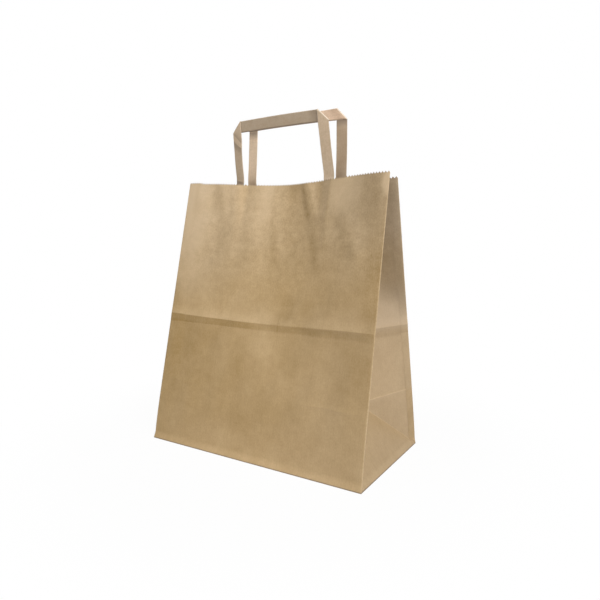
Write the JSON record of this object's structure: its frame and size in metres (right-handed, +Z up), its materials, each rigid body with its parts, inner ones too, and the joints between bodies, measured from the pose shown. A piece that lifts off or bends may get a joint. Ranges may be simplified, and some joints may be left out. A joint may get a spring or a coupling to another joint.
{
  "type": "paper carrier bag",
  "caption": "Brown kraft paper carrier bag with block bottom, folded side gussets, pinked mouth and flat folded-tape handles glued inside under patches.",
  "frame": {"origin": "centre of the base on the surface that the bag stands on", "axes": "+Z up to the handles, +X along the bag's width, -Y out of the front panel"},
  "size_m": [0.2604, 0.1402, 0.358],
  "materials": {
    "body_paper": "matte brown kraft",
    "handle_paper": "matte brown kraft, folded plies",
    "patch_paper": "matte brown kraft"
  },
  "bodies": {
    "root": {"bag_body": "body_paper", "front_handle": "handle_paper", "back_handle": "handle_paper", "front_handle_patch": "patch_paper", "back_handle_patch": "patch_paper"}
  },
  "joints": []
}
